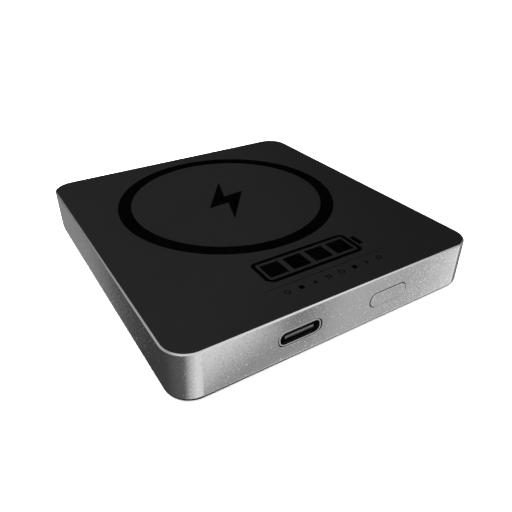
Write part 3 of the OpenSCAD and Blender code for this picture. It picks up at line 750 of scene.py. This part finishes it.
def build_button():
    """The pill-shaped cap with its rounded edge, and the flange behind the wall."""
    w, h, r = BUTTON_CAP
    front, back = BUTTON_LOW.y, BUTTON_HIGH.y
    behind_wall = 0.02 * MM
    flange_y = INNER_Y + behind_wall
    lip, lip_break = 0.7 * MM, 0.06 * MM
    edge, edge_steps = 0.1 * MM, 5
    sections = [(front + edge * (1 - s), -edge * (1 - c)) for c, s in arc(edge_steps, 90, 0)]
    sections += [(flange_y, 0), (flange_y, lip - lip_break), (flange_y + lip_break, lip),
                 (back - lip_break, lip), (back, lip - lip_break)]
    bm = bmesh.new()
    bands = loft(bm, [wall_loop(BUTTON_X, y, w + 2 * o, h + 2 * o, r + o) for y, o in sections])
    # Painted shade: the cap's sides behind its rounded edge get the near-black steel, to darken the
    # gap
    paint([bands[edge_steps]], 1)
    button = to_object("button_cap", bm, [BLASTED, CAP_SIDE_SHADE])
    return finish_piece(button, "button", ["power_button"])


def build_snap_dome():
    """The switch's snap dome: a thin spherical cap with a vent hole and a rounded rim, built in its
    rest shape with a mesh of its own. The real dome flattens as the plunger goes in."""
    low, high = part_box("switch_dome")
    gap = 0.01 * MM
    sheet = 0.08 * MM
    vent_r = 0.1 * MM
    steps, rim_steps, turn_steps = 14, 5, 64
    rim_bulge = 0.006  # share of its reach that the rim's middle stands out
    rim_r = (high.x - low.x) / 2
    rise = high.y - low.y - gap
    ball_r = (rim_r ** 2 + rise ** 2) / (2 * rise)
    reach = math.degrees(math.asin(rim_r / ball_r))
    x, z = (low.x + high.x) / 2, (low.z + high.z) / 2
    centre_y = low.y + gap + ball_r
    start = math.degrees(math.asin(vent_r / ball_r))
    angles = [start + (reach - start) * i / steps for i in range(steps)]
    outer = [(ball_r, a) for a in angles]
    inner = [(ball_r - sheet, a) for a in reversed(angles)]
    across = [(k + 0.5) / rim_steps for k in range(rim_steps)]
    edge = [(ball_r - sheet * t, reach * (1 - rim_bulge * abs(2 * t - 1))) for t in across]
    bm = bmesh.new()
    loops = []
    for r, a in outer + edge + inner:
        around, depth = r * math.sin(math.radians(a)), r * math.cos(math.radians(a))
        y = min(centre_y - depth, high.y)
        loops.append([(u, y, v) for u, v in circle_points(around, turn_steps, x, z)])
    loft(bm, loops, close=True)
    dome = finish_piece(to_object("snap_dome", bm, [SLOT_MATERIALS["spring_steel"]]), "case",
                        ["switch_dome"])
    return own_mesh(dome)


# ---- Socket ----


def build_shell():
    """The drawn steel shell with a flat lip and rounded edges, and the four legs that go down
    through the board."""
    front, back = SHELL_LOW.y, SHELL_HIGH.y
    t = (SHELL_OUTER[0] - SHELL_INNER[0]) / 2
    lip, lip_steps = 0.08 * MM, 4
    w, h, r = SHELL_INNER
    sections = [(back, 0)]
    sections += [(front + lip * (1 - s), lip * (1 - c)) for c, s in arc(lip_steps)]
    sections += [(front + lip * (1 - s), t - lip * (1 - c)) for c, s in reversed(arc(lip_steps))]
    sections += [(back, t)]
    bm = bmesh.new()
    bands = loft(bm, [wall_loop(SOCKET_X, y, w + 2 * o, h + 2 * o, r + o) for y, o in sections],
                 close=True)
    # Painted shade: the shell's inside and the inner half of its lip get the dark steel
    paint(bands[:1 + lip_steps // 2], 1)
    shell = to_object("socket_shell", bm, [STEEL, SHADED_INNER_STEEL])
    leg_l, leg_t, leg_break = 1.1 * MM, 0.9 * t, 0.05 * MM
    leg_ys = (front + 2.4 * MM, front + 6.1 * MM)
    legs = bmesh.new()
    for side in (-1, 1):
        x = SOCKET_X + side * (SHELL_OUTER[0] - t) / 2
        for y in leg_ys:
            add_box(legs, (x - leg_t / 2, y - leg_l / 2, SHELL_LOW.z),
                    (x + leg_t / 2, y + leg_l / 2, SOCKET_Z), leg_break)
    combine(shell, to_object("shell_legs", legs, [STEEL]), "UNION")
    return finish_piece(shell, "case", ["usb_shell"])


def build_tongue():
    """Tongue with a bevelled tip, a step behind it, and the moulding that closes the shell."""
    low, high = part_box("usb_insulator")
    w, t, edge, steps = 6.2 * MM, 0.7 * MM, 0.08 * MM, 6
    tip = 0.2 * MM
    step_w, step_h, step_l = 6.5 * MM, 1.2 * MM, 1.0 * MM
    back_w, back_h, back_r, back_l = high.x - low.x, high.z - low.z, 1.08 * MM, 2.0 * MM
    front, back = low.y, high.y - back_l
    step = back - step_l
    sections = [(front, w - 2 * tip, t - 2 * tip, edge), (front + tip / 2, w - tip, t - tip, edge),
                (front + tip, w, t, edge), (step, w, t, edge),
                (step + edge, step_w, step_h, edge), (back, step_w, step_h, edge),
                (back, back_w, back_h, back_r), (high.y, back_w, back_h, back_r)]
    bm = bmesh.new()
    bands = loft(bm, [wall_loop(SOCKET_X, y, sw, sh, sr, steps) for y, sw, sh, sr in sections])
    # Painted highlight: the tip's first band of faces gets the lighter plastic
    paint([bands[0]], 1)
    tongue = to_object("socket_tongue", bm, [TONGUE, TONGUE_EDGE_HIGHLIGHT])
    return finish_piece(tongue, "case", ["usb_insulator"])


def build_contacts():
    """Twelve contacts on each face of the tongue, with rounded edges, and the feet behind the
    shell."""
    low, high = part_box("usb_contacts")
    count = 12
    w, t, t_break = 0.27 * MM, 0.05 * MM, 0.02 * MM
    setback, end = 0.3 * MM, 3.3 * MM
    foot_t, foot_h, foot_break, foot_gap = 0.15 * MM, 0.8 * MM, 0.03 * MM, 0.01 * MM
    pitch = (high.x - low.x - w) / (count - 1)
    half_tongue = high.z - SOCKET_Z - t
    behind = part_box("usb_insulator")[1].y
    bm = bmesh.new()
    for i in range(count):
        left = low.x + i * pitch
        right = left + w
        for z in (SOCKET_Z + half_tongue, SOCKET_Z - half_tongue - t):
            add_box(bm, (left, low.y + setback, z), (right, low.y + end, z + t), t_break)
        add_box(bm, (left, behind, BOARD_TOP), (right, behind + foot_t, BOARD_TOP + foot_h),
                foot_break)
        add_box(bm, (left, behind + foot_t + foot_gap, BOARD_TOP),
                (right, high.y, BOARD_TOP + foot_t), foot_break)
    contacts = to_object("socket_contacts", bm, [GOLD])
    return finish_piece(contacts, "case", ["usb_contacts"])


# ---- Studio ----


def build_stage():
    """A pale floor with a dome over it. Mirror-like rays pass both and see the panels of the
    world."""
    floor_r, dome_r, dome_strength = 1.5, 1.45, 3.0
    bpy.ops.mesh.primitive_circle_add(vertices=96, radius=floor_r, fill_type="NGON",
                                      location=(0, 0, 0))
    floor = bpy.context.object
    floor.name = "floor"
    n = Nodes("floor_pale")
    n.set(Roughness=0.9, Specular_IOR_Level=0.1)
    colour = n.ramp(n.noise(0.002, detail=3), grey(0.86), grey(0.88))
    floor.data.materials.append(n.wire(colour))
    bpy.ops.mesh.primitive_uv_sphere_add(segments=64, ring_count=32, radius=dome_r)
    dome = bpy.context.object
    dome.name = "dome"
    d = Nodes("dome_light")
    glow = d.add("ShaderNodeEmission")
    glow.inputs["Strength"].default_value = dome_strength
    d.link(glow.outputs["Emission"], d.tree.nodes["Material Output"].inputs["Surface"])
    d.material.cycles.emission_sampling = "NONE"
    dome.data.materials.append(d.material)
    for obj in (floor, dome):
        obj.visible_glossy = False


# Reflected studio, as a brightness by azimuth in degrees: 0 is in front of the socket face, and 90
# to its right
LOW_PANELS = ((-180, 0.26), (-170, 0.28), (-168.6, 0.28), (-167.4, 0.07), (-164, 0.05),
              (-115, 0.06), (-85, 0.09), (-50, 0.12), (-38, 0.15), (-20, 0.5), (-8, 0.66),
              (6, 0.86), (29, 0.86), (34, 0.55), (37, 0.2), (40, 0.26), (44, 0.52), (53, 0.46),
              (56, 0.6), (58, 0.95), (68, 1.0), (75, 0.3), (90, 0.16), (100, 0.22), (115, 0.28),
              (128, 0.42), (168, 0.42), (180, 0.28))
HIGH_PANELS = ((-180, 0.04), (-171, 0.14), (-168, 0.2), (-164, 0.26), (-158, 0.42), (-150, 0.46),
               (-100, 0.3), (-60, 0.4), (-20, 0.7), (10, 0.8), (60, 0.8), (80, 0.34), (92, 0.32),
               (110, 0.05), (128, 0.0), (174, 0.0), (180, 0.02))
TOP_PANELS = ((-180, 0.35), (-100, 0.4), (-40, 0.7), (0, 0.92), (70, 0.93), (93, 0.86), (105, 0.3),
              (125, 0.02), (137, 0.15), (147, 0.35), (180, 0.35))
REAR_PANELS = ((-180, 0.0), (-160, 0.0), (-148, 1.0), (-50, 1.0), (-35, 0.0))
REAR_LEVEL = 0.34
ZENITH_LEVEL = 0.7
NADIR_LEVEL = 0.03

# Heights of a direction, from -1 straight down to 1 straight up, between which one ring turns into
# the next
REAR_FADE = (-0.65, -0.5)
HIGH_FADE = (-0.3, 0.1)
TOP_FADE = (0.6, 0.85)
ZENITH_FADE = (0.85, 0.98)
NADIR_FADE = (-0.96, -0.78)
LEAN_FROM = -0.66  # height below which the low panels lean
LEAN = 150  # degrees that they lean per unit of height


def build_world():
    """Rings of soft panels round the object: below the horizon, above it and overhead, and one more
    behind it, low on its left."""
    world = bpy.data.worlds.new("studio")
    bpy.context.scene.world = world
    world.use_nodes = True
    world.cycles.sampling_method = "NONE"
    tree = world.node_tree
    link = tree.links.new

    def calc(operation, *values):
        node = tree.nodes.new("ShaderNodeMath")
        node.operation = operation
        for socket, value in zip(node.inputs, values):
            if isinstance(value, (int, float)):
                socket.default_value = value
            else:
                link(value, socket)
        return node.outputs[0]

    split = tree.nodes.new("ShaderNodeSeparateXYZ")
    link(tree.nodes.new("ShaderNodeTexCoord").outputs["Generated"], split.inputs[0])
    x, y, z = split.outputs
    azimuth = calc("ARCTAN2", x, calc("MULTIPLY", y, -1))
    turn = calc("ADD", calc("DIVIDE", azimuth, 2 * math.pi), 0.5)
    below = calc("MINIMUM", calc("SUBTRACT", z, LEAN_FROM), 0)
    leaning = calc("FRACT", calc("SUBTRACT", turn, calc("MULTIPLY", below, LEAN / 360)))

    def panels(table, around):
        ramp = tree.nodes.new("ShaderNodeValToRGB")
        elements = ramp.color_ramp.elements
        elements.remove(elements[-1])
        for i, (degrees, value) in enumerate(table):
            position = degrees / 360 + 0.5
            element = elements[0] if i == 0 else elements.new(position)
            element.position = position
            element.color = (*grey(value), 1)
        link(around, ramp.inputs["Fac"])
        return ramp.outputs["Color"]

    def fade(heights, start=0.0):
        node = tree.nodes.new("ShaderNodeMapRange")
        node.interpolation_type = "SMOOTHSTEP"
        node.inputs["From Min"].default_value, node.inputs["From Max"].default_value = heights
        node.inputs["To Min"].default_value = start
        link(z, node.inputs["Value"])
        return node.outputs["Result"]

    def blend(fac, lower, upper):
        node = tree.nodes.new("ShaderNodeMix")
        node.data_type = "RGBA"
        link(fac, node.inputs[0])
        link(lower, node.inputs[6])
        if isinstance(upper, float):
            node.inputs[7].default_value = (*grey(upper), 1)
        else:
            link(upper, node.inputs[7])
        return node.outputs[2]

    rear = calc("MULTIPLY", fade(REAR_FADE), panels(REAR_PANELS, turn))
    colour = blend(rear, panels(LOW_PANELS, leaning), REAR_LEVEL)
    colour = blend(fade(HIGH_FADE), colour, panels(HIGH_PANELS, turn))
    colour = blend(fade(TOP_FADE), colour, panels(TOP_PANELS, turn))
    colour = blend(fade(ZENITH_FADE), colour, ZENITH_LEVEL)
    background = tree.nodes["Background"]
    link(colour, background.inputs["Color"])
    link(fade(NADIR_FADE, NADIR_LEVEL), background.inputs["Strength"])


def build_lights():
    """A soft spot from above on the object's back left, beside the even light of the dome."""
    data = bpy.data.lights.new("soft_spot", "SPOT")
    data.energy = 31
    data.shadow_soft_size = 0.02
    data.spot_size = math.radians(25.5)
    data.spot_blend = 0.35
    spot = bpy.data.objects.new("soft_spot", data)
    spot.location = (-0.061, 0.046, 0.5)
    spot.visible_glossy = False
    spot.visible_camera = False
    bpy.context.scene.collection.objects.link(spot)


def build_camera():
    """A 35 mm lens close to the object, off its left front corner and above it."""
    data = bpy.data.cameras.new("camera")
    data.lens = 35
    data.sensor_width = 36
    data.clip_start = 0.005
    camera = bpy.data.objects.new("camera", data)
    azimuth, elevation, distance = math.radians(-32.03), math.radians(32.26), 117.43 * MM
    target = Vector((1.18 * MM, -4.3 * MM, 0))
    level = math.cos(elevation)
    back = Vector((math.sin(azimuth) * level, -math.cos(azimuth) * level, math.sin(elevation)))
    camera.location = target + back * distance
    camera.rotation_mode = "QUATERNION"
    camera.rotation_quaternion = (-back).to_track_quat("-Z", "Y")
    bpy.context.scene.collection.objects.link(camera)
    bpy.context.scene.camera = camera


build_camera()
build_world()
build_lights()
build_stage()
dress_cad_nodes()
build_case()
build_charging_face()
build_button()
build_snap_dome()
build_shell()
build_tongue()
build_contacts()
bpy.context.scene.view_settings.view_transform = "Standard"
